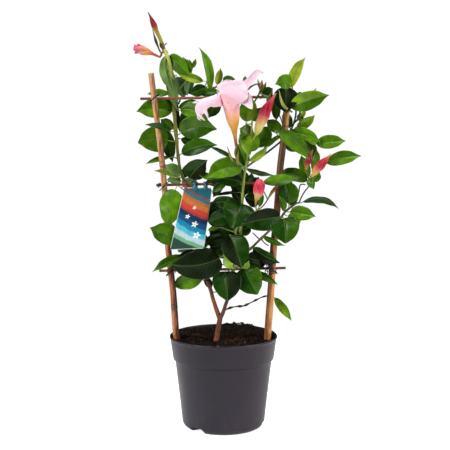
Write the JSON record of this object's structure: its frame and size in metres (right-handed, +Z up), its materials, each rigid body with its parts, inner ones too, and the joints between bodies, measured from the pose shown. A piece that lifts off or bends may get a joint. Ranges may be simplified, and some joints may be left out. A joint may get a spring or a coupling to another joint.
{
  "type": "potted mandevilla",
  "caption": "Young mandevilla with a pale pink trumpet bloom, buds and glossy leaves, twining up a small bamboo trellis in a dark round nursery pot filled with peat.",
  "frame": {"origin": "centre of the pot's flat underside, where the part stands", "axes": "+Z up along the height; +X to the right in the front view; +Y away from the front view"},
  "size_m": [0.3503, 0.172, 0.6467],
  "materials": {
    "pot_plastic": "satin",
    "peat_soil": "matte",
    "bamboo": "satin",
    "stick_wood": "satin",
    "tie_wire": "matte",
    "tag_plastic": "gloss",
    "bark": "matte",
    "foliage": "gloss",
    "petal": "satin",
    "faded_petal": "matte",
    "bud": "satin"
  },
  "bodies": {
    "root": {"pot": "pot_plastic", "soil": "peat_soil", "stake_left": "bamboo", "stake_right": "bamboo", "crossbar_top": "stick_wood", "crossbar_middle": "stick_wood", "crossbar_lower": "stick_wood", "tie_top_left": "tie_wire", "tie_top_right": "tie_wire", "tie_middle_left": "tie_wire", "tie_middle_right": "tie_wire", "tie_lower_left": "tie_wire", "tie_lower_right": "tie_wire", "label_tag": "tag_plastic", "main_stem": "bark", "left_vine": "foliage", "centre_vine": "foliage", "right_vine": "foliage", "top_right_shoot": "foliage", "low_leaf": "foliage", "flower": "petal", "bud_top_left": "bud", "spent_bloom": "faded_petal", "bud_centre": "bud", "bud_right_small": "bud", "bud_right": "bud", "bud_rolled": "bud", "bud_low": "bud"}
  },
  "joints": []
}
